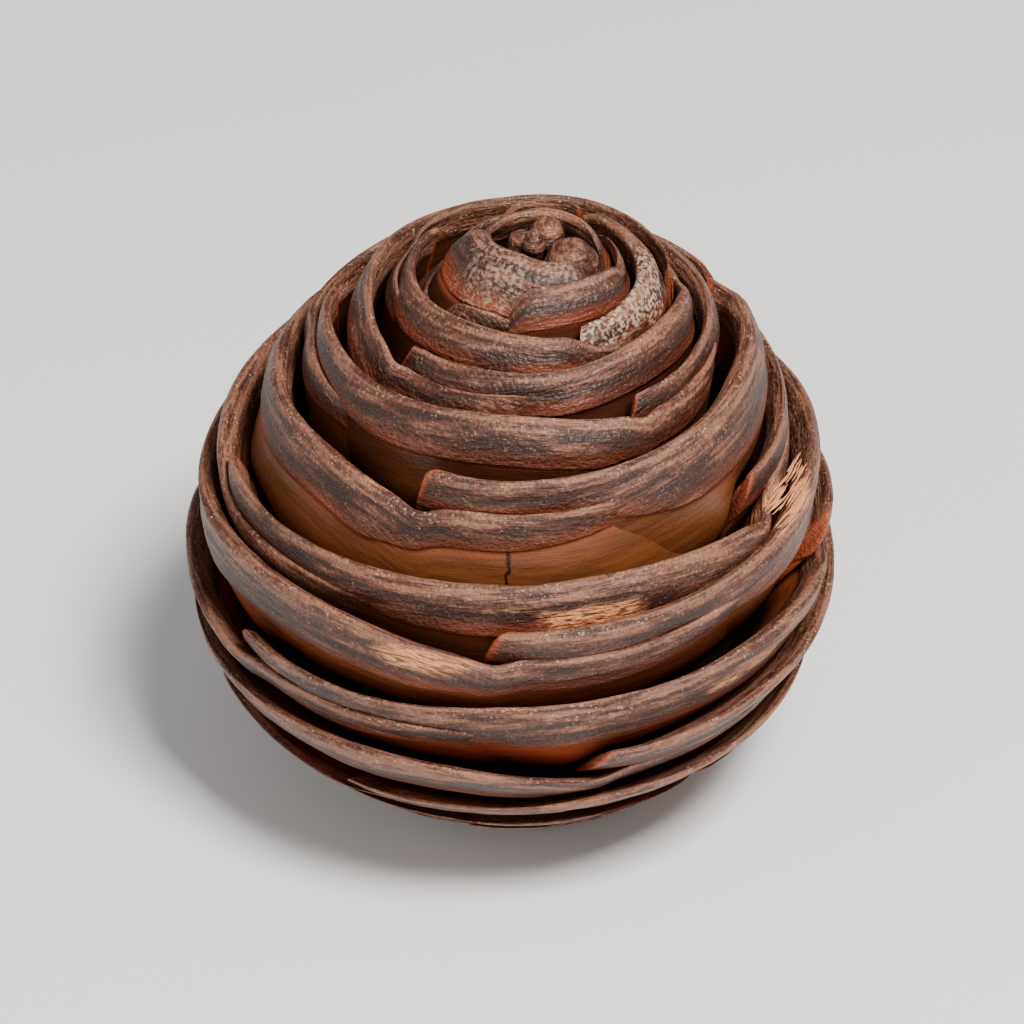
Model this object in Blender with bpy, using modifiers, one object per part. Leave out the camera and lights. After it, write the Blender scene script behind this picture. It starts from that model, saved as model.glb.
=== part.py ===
# A leucadendron cone: broad woody bracts in one spiral round a short axis, cut flush at the stem.
# Metres, +Z up. The origin is the middle of the cut base, the tip points up and -Y is the front.
import math
import random

import bmesh
import bpy
from mathutils import Vector

# Driving dimensions of the whole cone
HEIGHT = 0.0465            # cut base to tip
WIDTH = 0.048              # across the widest rims
WIDEST_DOWN = 0.0268       # from the tip down to the widest rims
BASE_SHARE = 0.36          # radius at the cut base, as a share of the widest
TIP_LEAN = 0.002           # how far the tip leans to +X
TIP_BLUNT = 0.625          # exponents of the outline: tip, shoulder and underside
SHOULDER = 1.8
UNDERSIDE = 2.5

# The spiral that the bracts stand on, counted from the bract whose corner shows in the middle
DIVERGENCE = 139.3         # degrees from one bract to the next, going down and to the left
FIRST_AZIMUTH = -22.0      # left corner of bract 0, in degrees from the front
FIRST_RUN = 0.0195         # its rim, measured along the surface from the tip
BRACTS = range(-12, 24)
WIDE_BRACTS = range(-6, 15)
STEP = 0.00215             # along the surface from one bract to the next below it, at the middle
STEP_UP = 0.0018           # the same just above the middle
STEP_UP_LOSS = 0.00008     # how much it shrinks for each bract nearer the tip
STEP_DOWN_LOSS = 0.00007   # and for each bract nearer the stem, from LOWER_BRACT on
LOWER_BRACT = 9

# One bract, in degrees round the cone and shares of the step
ARC = 212.0                # from its left corner to its right end
LONE_BAND = 1.8            # thickness of the margin where it stands alone
PAIRED_BAND = 1.0          # and where it lies against the next one
PAIRED_ARC = 74.0          # how far from the left corner the next one below goes with it
CREST = 0.55               # how far the rim rises between its two ends
CREST_AT = 100.0
CORNER_DROP = 1.15         # how far the left corner falls behind the bract below
TUCK = 0.80                # where a right end lies below the next margin, as a share of it
TAIL_TUCK = 0.30           # and at its very end, inside that margin
CORNER_ARC = 5.0           # how far round the left corner takes to rise
COLUMNS = (0.0, 4.0, 18.0, 36.0, 54.0, 72.0, 90.0, 108.0, 126.0, 143.0, 165.0, 190.0, 212.0)
FEW_COLUMNS = (0.0, 6.0, 40.0, 74.0, 108.0, 142.0, 176.0, 212.0)

# Its section, from the rim inwards: depth as a share of the way to the core, upper and lower side
# as shares of the margin's thickness
SECTION = ((0.0, 0.20, 0.76), (0.09, 0.0, 1.0), (0.85, 0.20, 0.78))
LEAN = 0.0105              # how much lower than the rim its root is, along the surface

# The axis that carries the bracts, inside the cone
CORE_WIDTH = 0.60          # shares of the outer surface
CORE_HEIGHT = 0.82
CORE_DEPTH = 0.64
CORE_SIDES = 18
CORE_RINGS = 9

# The small bracts that close the tip
TIP_BRACTS = 5
TIP_AZIMUTH = 10.0
TIP_RUN = 0.0012           # their rims, along the surface from the tip
TIP_BAND = 0.0019
TIP_COLUMNS = (-27.0, -12.0, 12.0, 27.0)
TIP_PROUD = 0.06           # how far they stand above the outline, as a share of the depth

# The foot of the axis, and the cut end of the stem that is let into it
FOOT_RADIUS = 0.0084
FOOT_HEIGHT = 0.0085
FOOT_SIDES = 24
STEM_RADIUS = 0.0065
STEM_DEPTH = 0.006
STEM_EDGE = 0.0003
STEM_SIDES = 40
CLEARANCE = 0.0003

SEED = 4
SAMPLES = 600


def clear_scene():
    for item in list(bpy.data.objects):
        bpy.data.objects.remove(item, do_unlink=True)


def new_collection(name, hidden=False):
    collection = bpy.data.collections.new(name)
    bpy.context.scene.collection.children.link(collection)
    collection.hide_render = hidden
    return collection


def make_material(name, colour, roughness):
    material = bpy.data.materials.new(name)
    material.use_nodes = True
    shader = material.node_tree.nodes["Principled BSDF"]
    shader.inputs["Base Color"].default_value = (*colour, 1.0)
    shader.inputs["Roughness"].default_value = roughness
    shader.inputs["Metallic"].default_value = 0.0
    return material


def outline_radius(down):
    """Radius of the outer surface, this far below the tip."""
    if down <= WIDEST_DOWN:
        rest = 1.0 - max(down, 0.0) / WIDEST_DOWN
        return WIDTH / 2 * (1.0 - rest ** SHOULDER) ** TIP_BLUNT
    below = (down - WIDEST_DOWN) / (HEIGHT - WIDEST_DOWN)
    return WIDTH / 2 * (1.0 - (1.0 - BASE_SHARE) * below ** UNDERSIDE)


def walk_outline():
    """Points down the outline with the run along it, closer together where it is flat at the tip."""
    points = []
    run = 0.0
    before = None
    for index in range(SAMPLES + 1):
        down = HEIGHT * (index / SAMPLES) ** 2
        point = (outline_radius(down), HEIGHT - down)
        if before:
            run += math.dist(point, before)
        points.append((run, *point))
        before = point
    return points


OUTLINE = walk_outline()
FULL_RUN = OUTLINE[-1][0]


def on_outline(run):
    """Radius and height at this run from the tip. Past the base it goes straight on."""
    if run >= FULL_RUN:
        far, near = OUTLINE[-1], OUTLINE[-8]
        share = (run - FULL_RUN) / (far[0] - near[0])
        return max(far[1] + (far[1] - near[1]) * share, 0.0004), far[2] + (far[2] - near[2]) * share
    low, high = 0, SAMPLES
    while high - low > 1:
        middle = (low + high) // 2
        if OUTLINE[middle][0] <= run:
            low = middle
        else:
            high = middle
    share = (run - OUTLINE[low][0]) / (OUTLINE[high][0] - OUTLINE[low][0])
    radius = OUTLINE[low][1] + (OUTLINE[high][1] - OUTLINE[low][1]) * share
    height = OUTLINE[low][2] + (OUTLINE[high][2] - OUTLINE[low][2]) * share
    return radius, height


def place(azimuth, run, depth, lean=LEAN):
    """A point this far round (degrees from the front), down the surface and in towards the core."""
    outer_radius, outer_height = on_outline(max(run, 0.0))
    inner_radius, inner_height = on_outline(max(run + lean, 0.0))
    radius = outer_radius + (inner_radius * CORE_WIDTH - outer_radius) * depth
    height = outer_height + (inner_height * CORE_HEIGHT - outer_height) * depth
    angle = math.radians(azimuth)
    widest = HEIGHT - WIDEST_DOWN
    shift = TIP_LEAN * (max(height - widest, 0.0) / WIDEST_DOWN) ** 2
    return Vector((radius * math.sin(angle) + shift, -radius * math.cos(angle), height))


def step_of(bract):
    if bract < 0:
        return STEP_UP + STEP_UP_LOSS * bract
    return STEP - STEP_DOWN_LOSS * max(0, bract - LOWER_BRACT)


def run_of(bract):
    """Run from the tip to this bract's left corner."""
    if bract < 0:
        return FIRST_RUN - sum(step_of(other) for other in range(bract, 0))
    return FIRST_RUN + sum(step_of(other) for other in range(bract))


def ease(value, start, end):
    share = min(max((value - start) / (end - start), 0.0), 1.0)
    return share * share * (3.0 - 2.0 * share)


def band_of(bract, along):
    """Thickness of the margin: thin where two bracts lie together, thick where one stands alone."""
    alone = ease(along, PAIRED_ARC - 22, PAIRED_ARC + 8) * (1.0 - ease(along, DIVERGENCE - 16, DIVERGENCE))
    fading = 1.0 - 0.45 * ease(along, ARC - 40, ARC)
    return step_of(bract) * (PAIRED_BAND + (LONE_BAND - PAIRED_BAND) * alone) * fading


def rim_of(bract, along):
    """Run to the rim. Past the next bract's corner it keeps to that one's underside."""
    if along > DIVERGENCE:
        above = along - DIVERGENCE
        tuck = TUCK + (TAIL_TUCK - TUCK) * ease(along, ARC - 40, ARC)
        return rim_of(bract - 1, max(above, CORNER_ARC)) + band_of(bract - 1, above) * tuck
    crest = math.cos(math.radians(90 * min(abs(along - CREST_AT) / (CREST_AT * 0.9), 1.0))) ** 2
    if along > CREST_AT:
        crest = 1.0 - ease(along, CREST_AT, DIVERGENCE)
    corner = 1.0 - ease(along, 0.0, CORNER_ARC)
    return run_of(bract) + step_of(bract) * (CORNER_DROP * corner - CREST * crest)


def loft(rings, name, collection):
    """A closed solid from rings of points: each is joined to the next, and the two ends are closed."""
    mesh = bmesh.new()
    made = [[mesh.verts.new(point) for point in ring] for ring in rings]
    for one, two in zip(made, made[1:]):
        for index in range(len(one)):
            after = (index + 1) % len(one)
            mesh.faces.new((one[index], two[index], two[after], one[after]))
    mesh.faces.new(made[0])
    mesh.faces.new(made[-1][::-1])
    bmesh.ops.triangulate(mesh, faces=mesh.faces[:])
    bmesh.ops.recalc_face_normals(mesh, faces=mesh.faces[:])
    data = bpy.data.meshes.new(name)
    mesh.to_mesh(data)
    mesh.free()
    solid = bpy.data.objects.new(name, data)
    collection.objects.link(solid)
    return solid


def section_ring(azimuth, rim, band, sunk, paired_above=False, paired_below=False):
    """The bract's section at one azimuth: up its inner side, over the rim and down its outer side."""
    upper = []
    lower = []
    for depth, top, bottom in SECTION:
        top = 0.0 if paired_above else top
        bottom = 1.0 if paired_below else bottom
        into = depth + sunk * (1.0 - depth)
        upper.append(place(azimuth, rim + band * top, into))
        lower.append(place(azimuth, rim + band * bottom, into))
    return upper[::-1] + lower


def bract_object(bract, collection, wobble):
    """One bract: its section carried round the cone from its left corner to its right end."""
    sway = wobble.uniform(-0.03, 0.03)
    proud = wobble.uniform(-0.03, 0.03)
    rings = []
    for along in COLUMNS if bract in WIDE_BRACTS else FEW_COLUMNS:
        rim = rim_of(bract, along) + step_of(bract) * sway * math.sin(math.radians(along * 3.0))
        band = band_of(bract, along)
        sunk = 0.06 * (1.0 - ease(along, 0.0, CORNER_ARC)) + 0.10 * ease(along, DIVERGENCE, ARC - 20)
        azimuth = FIRST_AZIMUTH - DIVERGENCE * bract + along
        rings.append(section_ring(azimuth, rim, band, sunk + proud, along > DIVERGENCE - 4, along < PAIRED_ARC - 10))
    return loft(rings, f"bract_{bract}", collection)


def tip_bract(index, collection):
    azimuth = TIP_AZIMUTH + 360.0 * index / TIP_BRACTS
    rings = []
    for off in TIP_COLUMNS:
        end = abs(off) / TIP_COLUMNS[-1]
        rings.append(section_ring(azimuth + off, TIP_RUN * (1.0 + 0.4 * end), TIP_BAND, 0.15 * end ** 3 - TIP_PROUD))
    return loft(rings, f"tip_bract_{index}", collection)


def core_object(name, collection):
    """The axis inside the cone, turned from the bracts' inner ends."""
    rings = []
    for index in range(1, CORE_RINGS + 1):
        run = FULL_RUN * index / CORE_RINGS
        rings.append([place(360.0 * side / CORE_SIDES, run, CORE_DEPTH) for side in range(CORE_SIDES)])
    return loft(rings, name, collection)


def cylinder(name, collection, radius, low, high, sides):
    bpy.ops.mesh.primitive_cylinder_add(vertices=sides, radius=radius, depth=high - low,
                                        location=(0, 0, (low + high) / 2))
    made = bpy.context.object
    made.name = name
    for other in list(made.users_collection):
        other.objects.unlink(made)
    collection.objects.link(made)
    return made


def apply_boolean(target, operation, collection):
    modifier = target.modifiers.new(operation.lower(), "BOOLEAN")
    modifier.operation = operation
    modifier.operand_type = "COLLECTION"
    modifier.collection = collection
    modifier.solver = "MANIFOLD"
    bpy.context.view_layer.update()
    graph = bpy.context.evaluated_depsgraph_get()
    fused = bpy.data.meshes.new_from_object(target.evaluated_get(graph))
    target.modifiers.remove(modifier)
    target.data = fused


def keep_outer_body(target):
    """Keeps the one outer body: loose scraps go, and sealed hollows are filled."""
    mesh = bmesh.new()
    mesh.from_mesh(target.data)
    bmesh.ops.triangulate(mesh, faces=mesh.faces[:])
    left = set(mesh.faces)
    bodies = []
    while left:
        body = [left.pop()]
        for face in body:
            for edge in face.edges:
                for other in edge.link_faces:
                    if other in left:
                        left.remove(other)
                        body.append(other)
        volume = sum(f.verts[0].co.dot(f.verts[1].co.cross(f.verts[2].co)) for f in body) / 6
        bodies.append((volume, body))
    bodies.sort(key=lambda item: item[0])
    for volume, body in bodies[:-1]:
        bmesh.ops.delete(mesh, geom=body, context="FACES")
    mesh.to_mesh(target.data)
    mesh.free()


def build_head(model, repeats, cutters):
    wobble = random.Random(SEED)
    head = core_object("bracts", model)
    for bract in BRACTS:
        bract_object(bract, repeats, wobble)
    for index in range(TIP_BRACTS):
        tip_bract(index, repeats)
    cylinder("foot", repeats, FOOT_RADIUS, -FOOT_HEIGHT, FOOT_HEIGHT, FOOT_SIDES)
    apply_boolean(head, "UNION", repeats)
    for item in list(repeats.objects):
        bpy.data.objects.remove(item, do_unlink=True)
    cylinder("below_base", cutters, WIDTH, -WIDTH, 0.0, 12)
    cylinder("stem_seat", cutters, STEM_RADIUS + CLEARANCE, -FOOT_HEIGHT, STEM_DEPTH + CLEARANCE, STEM_SIDES)
    for item in cutters.objects:
        item.display_type = "WIRE"
        item.hide_render = True
    apply_boolean(head, "DIFFERENCE", cutters)
    keep_outer_body(head)
    head.data.materials.clear()
    head.data.materials.append(make_material("weathered_bract", (0.20, 0.10, 0.055), 0.62))
    return head


def build_stem(model):
    stem = cylinder("cut_stem", model, STEM_RADIUS, 0.0, STEM_DEPTH, STEM_SIDES)
    edge = stem.modifiers.new("edge", "BEVEL")
    edge.width = STEM_EDGE
    edge.segments = 1
    edge.limit_method = "ANGLE"
    stem.data.materials.append(make_material("cut_wood", (0.55, 0.36, 0.15), 0.8))
    return stem


def main():
    clear_scene()
    model = new_collection("leucadendron_cone")
    repeats = new_collection("repeats")
    cutters = new_collection("cutters", hidden=True)
    build_head(model, repeats, cutters)
    build_stem(model)


main()
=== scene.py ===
import math
import random
import bmesh
import bpy
import numpy as np
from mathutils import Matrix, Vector


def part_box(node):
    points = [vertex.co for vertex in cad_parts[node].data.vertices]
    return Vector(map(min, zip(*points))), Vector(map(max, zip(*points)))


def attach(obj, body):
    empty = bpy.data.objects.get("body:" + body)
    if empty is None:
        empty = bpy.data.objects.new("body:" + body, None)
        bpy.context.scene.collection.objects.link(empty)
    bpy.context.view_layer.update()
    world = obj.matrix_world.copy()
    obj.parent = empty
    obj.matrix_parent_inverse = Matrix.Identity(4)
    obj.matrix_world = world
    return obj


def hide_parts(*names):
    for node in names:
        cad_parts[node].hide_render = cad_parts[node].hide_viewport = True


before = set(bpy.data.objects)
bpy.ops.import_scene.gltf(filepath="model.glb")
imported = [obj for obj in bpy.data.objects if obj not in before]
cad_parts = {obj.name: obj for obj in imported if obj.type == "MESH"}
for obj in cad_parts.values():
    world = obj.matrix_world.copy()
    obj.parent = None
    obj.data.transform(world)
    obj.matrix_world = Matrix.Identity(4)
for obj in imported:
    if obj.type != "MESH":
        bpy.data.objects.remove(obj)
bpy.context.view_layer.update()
boxLow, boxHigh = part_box("bracts")

# The cone's outer form in metres. The width is the frame's own, and most of the rest are shares of it
cone = {
    "width": boxHigh[0] - boxLow[0],
    "heightShare": 0.969,        # cut base to tip
    "widestDownShare": 0.5583,   # from the tip down to the widest rims
    "tipLeanShare": 0.0417,      # how far the tip leans to the right
    "baseShare": 0.36,           # radius at the cut base, of the widest
    "tipBlunt": 0.625,           # the exponents of the outline's curves
    "shoulder": 1.8,
    "underside": 2.5,
    "coreWidth": 0.60,           # where the roots stand, of the outline's radius and height
    "coreHeight": 0.82,
    "coreDepth": 0.64,           # the core's own surface, 0 at the rims and 1 at the roots
    "coreFloor": 0.0066,         # and its underside, clear of the cut stem
    "lean": 0.0105,              # how far a root lies below its rim, along the surface
}
cone["height"] = cone["width"] * cone["heightShare"]
cone["widestDown"] = cone["width"] * cone["widestDownShare"]
cone["tipLean"] = cone["width"] * cone["tipLeanShare"]

# The spiral of bracts, counted from the one whose corner shows in the middle of the front
spiral = {
    "divergence": 139.3,         # degrees from one corner to the next, down and to the left
    "firstAzimuth": -22.0,
    "firstRun": 0.0195,          # metres from the tip, along the surface
    "step": 0.00215,             # from one rim to the next
    "stepUp": 0.0018,            # the same above the first bract, and how much less each time
    "stepUpLoss": 0.00008,
    "lowerBract": 9,             # the steps grow shorter below this one too
    "stepDownLoss": 0.00007,
    # the bracts that stand out of the rule: degrees, shares of the band, and metres down
    "turned": {-10: 2.0, -8: 12.0, -5: -3.5, 5: -3.5, 10: -8.0},
    "wider": {-10: 1.25, -9: 1.25, -8: 1.75, -7: 1.05, 3: 0.92},
    "wideAlone": {0: 1.32, -3: 1.15},
    "lowered": {3: 0.0017, 2: 0.0005, -4: 0.0004, -9: 0.0009, -10: 0.0012},
}

# One bract: degrees round the cone, and shares of the step
bractForm = {
    "arc": 212.0,
    "loneBand": 1.62,            # thickness of the rim that shows, where the bract stands alone
    "pairedBand": 0.96,          # and where another's tail lies under it
    "pairedArc": 74.0,
    "widens": (44.0, 6.0),       # from and to, degrees before the paired part ends
    "tailFade": 0.85,            # how much thinner a tail's band is at its end
    "tailFades": (58.0, 6.0),    # from and to, degrees before the end
    "crest": 0.55,               # how far a rim rises between its corners
    "crestAt": 100.0,
    "cornerDrop": -0.06,
    "cornerArc": 7.0,
    "cornerBand": 0.84,          # thickness left at the corner
    "slant": 3.2,                # degrees that a corner leans, narrow end up
    "notch": 0.30,               # how far a rim dips beside the corner that covers it
    "tuck": 0.92,                # where the next bract shows under this one
    "gapLine": 0.0005,           # left open between a bract's outer face and the rim below, metres
    "lipDepth": 0.11,
    "faceDepth": 0.22,           # how far back the outer face stands, times one of these
    "faceBack": {"shown": 1.0, "upper": 1.7, "lower": 1.3},
    "shownFaces": (0, 1),        # the bracts of the broad caramel strip
    "lowerFaces": 6,             # and the first of the lower ones
    "fullFace": 1,               # the bract whose face fills its gap
    "faceReach": (0.62, 0.85),   # how much of their gaps the others fill
    "upperReach": 0.6,
    "tailArc": 36.0,             # the last degrees, where a tail sinks behind the bract above
    "tailSink": {1: 0.2},        # share of that sinking
    "sunkAway": {-9: (40.0, 160.0, 0.26), -10: (-30.0, 60.0, 0.26)},     # low between two angles, by how much
    "sway": 0.16,                # unevenness of the rims, bands and depths
    "swell": 0.09,
    "waver": 0.03,
    "smooth": 2,                 # subdivision levels
}

seed = 4        # of the random draws and the noise


def deselectAll():
    if bpy.context.object and bpy.context.object.mode != "OBJECT":
        bpy.ops.object.mode_set(mode="OBJECT")
    bpy.ops.object.select_all(action="DESELECT")


def makeActive(piece):
    deselectAll()
    piece.select_set(True)
    bpy.context.view_layer.objects.active = piece


def ease(value, start, end):
    share = np.clip((value - start) / (end - start), 0.0, 1.0)
    return share * share * (3.0 - 2.0 * share)


def outlineRadius(down):
    upper = (1.0 - np.clip(1.0 - down / cone["widestDown"], 0.0, 1.0) ** cone["shoulder"]) ** cone["tipBlunt"]
    below = np.clip((down - cone["widestDown"]) / (cone["height"] - cone["widestDown"]), 0.0, 1.0)
    lower = 1.0 - (1.0 - cone["baseShare"]) * below ** cone["underside"]
    return cone["width"] / 2 * np.where(down < cone["widestDown"], upper, lower)


# The outline walked once, so that a distance along the surface gives a radius and a height
walkDown = cone["height"] * np.linspace(0.0, 1.0, 900) ** 2
walkRadius = outlineRadius(walkDown)
walkRun = np.concatenate([[0.0], np.cumsum(np.hypot(np.diff(walkRadius), np.diff(walkDown)))])
fullRun = walkRun[-1]


def onOutline(run):
    run = np.maximum(run, 0.0)
    past = np.maximum(run - fullRun, 0.0)
    slopeRadius = (walkRadius[-1] - walkRadius[-12]) / (walkRun[-1] - walkRun[-12])
    slopeDown = (walkDown[-1] - walkDown[-12]) / (walkRun[-1] - walkRun[-12])
    radius = np.interp(run, walkRun, walkRadius) + slopeRadius * past
    down = np.interp(run, walkRun, walkDown) + slopeDown * past
    return np.maximum(radius, 0.0004), cone["height"] - down


def place(azimuth, run, depth):
    # azimuth in degrees from the front, run down the surface, depth 0 at the rim to 1 at the core
    outerRadius, outerHeight = onOutline(run)
    innerRadius, innerHeight = onOutline(run + cone["lean"])
    radius = outerRadius + (innerRadius * cone["coreWidth"] - outerRadius) * depth
    height = outerHeight + (innerHeight * cone["coreHeight"] - outerHeight) * depth
    angle = np.radians(azimuth)
    widest = cone["height"] - cone["widestDown"]
    shift = cone["tipLean"] * (np.maximum(height - widest, 0.0) / cone["widestDown"]) ** 2
    return np.stack([radius * np.sin(angle) + shift, -radius * np.cos(angle), height], axis=-1)


def stepOf(bract):
    if bract < 0:
        return spiral["stepUp"] + spiral["stepUpLoss"] * bract
    return spiral["step"] - spiral["stepDownLoss"] * max(0, bract - spiral["lowerBract"])


def runOf(bract):
    if bract < 0:
        return spiral["firstRun"] - sum(stepOf(other) for other in range(bract, 0))
    return spiral["firstRun"] + sum(stepOf(other) for other in range(bract)) + spiral["lowered"].get(bract, 0.0)


def cornerAzimuth(bract):
    return spiral["firstAzimuth"] - spiral["divergence"] * bract + spiral["turned"].get(bract, 0.0)


def turnTo(bract, other):
    # degrees from one bract's left corner on to another's
    return (cornerAzimuth(other) - cornerAzimuth(bract)) % 360


def bandOf(bract, along):
    pairedArc, arc = bractForm["pairedArc"], bractForm["arc"]
    covered = turnTo(bract, bract - 1)
    (widenStart, widenEnd), (fadeStart, fadeEnd) = bractForm["widens"], bractForm["tailFades"]
    alone = ease(along, pairedArc - widenStart, pairedArc - widenEnd) * (1.0 - ease(along, covered - 16, covered))
    fading = 1.0 - bractForm["tailFade"] * ease(along, arc - fadeStart, arc - fadeEnd)
    lone = bractForm["loneBand"] * spiral["wideAlone"].get(bract, 1.0)
    band = bractForm["pairedBand"] + (lone - bractForm["pairedBand"]) * alone
    return stepOf(bract) * band * fading * spiral["wider"].get(bract, 1.0)


def rimOf(bract, along):
    covered, crestAt, arc = turnTo(bract, bract - 1), bractForm["crestAt"], bractForm["arc"]
    rising = np.cos(np.radians(90 * np.clip(np.abs(along - crestAt) / (crestAt * 0.9), 0.0, 1.0))) ** 2
    falling = 1.0 - ease(along, crestAt, covered)
    crest = np.where(along > crestAt, falling, rising)
    corner = 1.0 - ease(along, 0.0, bractForm["cornerArc"])
    notch = bractForm["notch"] * ease(along, covered - 9, covered - 1)
    rim = runOf(bract) + stepOf(bract) * (bractForm["cornerDrop"] * corner + notch - bractForm["crest"] * crest)
    if np.max(along) <= covered:
        return rim
    above = np.clip(along - covered, 0.0, covered - 10)
    tuck = bractForm["pairedBand"] * bractForm["tuck"] * spiral["wider"].get(bract - 1, 1.0)
    tuck = stepOf(bract - 1) * tuck * (1.0 - 0.12 * ease(along, arc - 26, arc))
    tail = rimOf(bract - 1, np.maximum(above, bractForm["cornerArc"])) + tuck
    return np.where(along > covered, tail, rim)


def rimBelow(bract, along):
    # the next rim that shows under this one
    third = rimOf(bract + 3, np.minimum(along + turnTo(bract + 3, bract), turnTo(bract + 3, bract + 2)))
    passed = 360 - turnTo(bract + 2, bract)
    second = rimOf(bract + 2, np.clip(along - passed, bractForm["cornerArc"], np.floor(spiral["divergence"])))
    return np.where(along < passed, third, second)


# Smooth noise in numpy, the same every run
def latticeValue(x, y, z, salt):
    mixed = (x * 374761393 + y * 668265263 + z * 1442695041 + salt * 974634777) & 0xFFFFFFFF
    mixed = ((mixed ^ (mixed >> 13)) * 1274126177) & 0xFFFFFFFF
    return ((mixed ^ (mixed >> 16)) & 0xFFFF) / 65535.0


def smoothNoise(x, y, z, salt):
    x, y, z = np.broadcast_arrays(x, y, z)
    whole = [np.floor(v).astype(np.int64) for v in (x, y, z)]
    share = [v - w for v, w in zip((x, y, z), whole)]
    share = [s * s * (3.0 - 2.0 * s) for s in share]
    total = 0.0
    for i in (0, 1):
        for j in (0, 1):
            for k in (0, 1):
                weight = (share[0] if i else 1 - share[0]) * (share[1] if j else 1 - share[1])
                weight = weight * (share[2] if k else 1 - share[2])
                total = total + weight * latticeValue(whole[0] + i, whole[1] + j, whole[2] + k, salt)
    return total * 2.0 - 1.0


# The section of a bract: from its root up the inner side and over the rim, as depth (share of the
# way to the core) and height (share of the band), then down the outer face, as depth and share of that face
rimLoop = [
    (0.86, 0.24), (0.50, 0.14), (0.26, 0.05), (0.13, 0.0),
    (0.056, -0.02), (0.014, 0.06), (-0.004, 0.20), (-0.004, 0.40), (0.020, 0.64), (0.060, 0.86), (0.11, 1.0),
]
faceLoop = [(0.20, 0.05), (0.55, 0.50), (1.0, 0.92), (1.5, 1.0), (2.6, 0.85), (3.9, 0.6)]
# Points of that section, by number: where the weathered skin starts, the rim turns over, and its outer side starts
sectionPoints = {"skin": 3, "turn": 5, "outer": 6}
# Degrees from the left corner at which the sections stand
columnsAlong = [0.0, 0.9, 2.2, 3.8, 5.6, 8.0, 12.0, 18.0, 25.0, 33.0, 41.0, 49.0, 57.0, 64.0, 70.0, 76.0, 82.0, 89.0,
                97.0, 105.0, 113.0, 120.0, 126.0, 131.0, 135.0, 139.0, 143.0, 150.0, 158.0, 167.0, 176.0, 185.0,
                194.0, 203.0, 212.0]


def cutRod(name, sides, cuts):
    # a unit cylinder whose long edges are cut, so that it can be bent
    deselectAll()
    bpy.ops.mesh.primitive_cylinder_add(vertices=sides, radius=1.0, depth=1.0, end_fill_type="NGON")
    piece = bpy.context.object
    piece.name = name
    bpy.ops.object.mode_set(mode="EDIT")
    bpy.ops.mesh.select_mode(type="EDGE")
    bpy.ops.mesh.select_all(action="DESELECT")
    mesh = bmesh.from_edit_mesh(piece.data)
    for edge in mesh.edges:
        edge.select_set(abs(edge.verts[0].co.z - edge.verts[1].co.z) > 0.5)
    bmesh.update_edit_mesh(piece.data)
    bpy.ops.mesh.subdivide(number_cuts=cuts)
    bpy.ops.object.mode_set(mode="OBJECT")
    return piece


def tubeCage(name, sides, columns):
    # each ring of the rod's sides becomes one section of a bract
    piece = cutRod(name, sides, columns - 2)
    cage = getPoints(piece)
    side = np.round(np.arctan2(cage[:, 1], cage[:, 0]) / (2 * math.pi) * sides).astype(int) % sides
    column = np.round((cage[:, 2] + 0.5) * (columns - 1)).astype(int)
    return piece, side, column


def setPoints(piece, points):
    piece.data.vertices.foreach_set("co", np.ascontiguousarray(points, dtype=np.float32).ravel())
    piece.data.update()


def getPoints(piece):
    points = np.empty(len(piece.data.vertices) * 3)
    piece.data.vertices.foreach_get("co", points)
    return points.reshape(-1, 3)


def getNormals(piece):
    normals = np.empty(len(piece.data.vertices) * 3)
    piece.data.vertices.foreach_get("normal", normals)
    return normals.reshape(-1, 3)


def writeValue(piece, name, values):
    held = piece.data.attributes.get(name) or piece.data.attributes.new(name, "FLOAT", "POINT")
    held.data.foreach_set("value", np.ascontiguousarray(values, dtype=np.float32))


def readValue(piece, name):
    values = np.empty(len(piece.data.vertices), dtype=np.float32)
    piece.data.attributes[name].data.foreach_get("value", values)
    return values.astype(float)


def applySmooth(piece, levels):
    makeActive(piece)
    smoother = piece.modifiers.new("smooth", "SUBSURF")
    smoother.levels = smoother.render_levels = levels
    smoother.boundary_smooth = "PRESERVE_CORNERS"
    bpy.ops.object.modifier_apply(modifier=smoother.name)


def facesOutward(piece):
    makeActive(piece)
    bpy.ops.object.mode_set(mode="EDIT")
    bpy.ops.mesh.select_all(action="SELECT")
    bpy.ops.mesh.normals_make_consistent(inside=False)
    bpy.ops.object.mode_set(mode="OBJECT")


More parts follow.
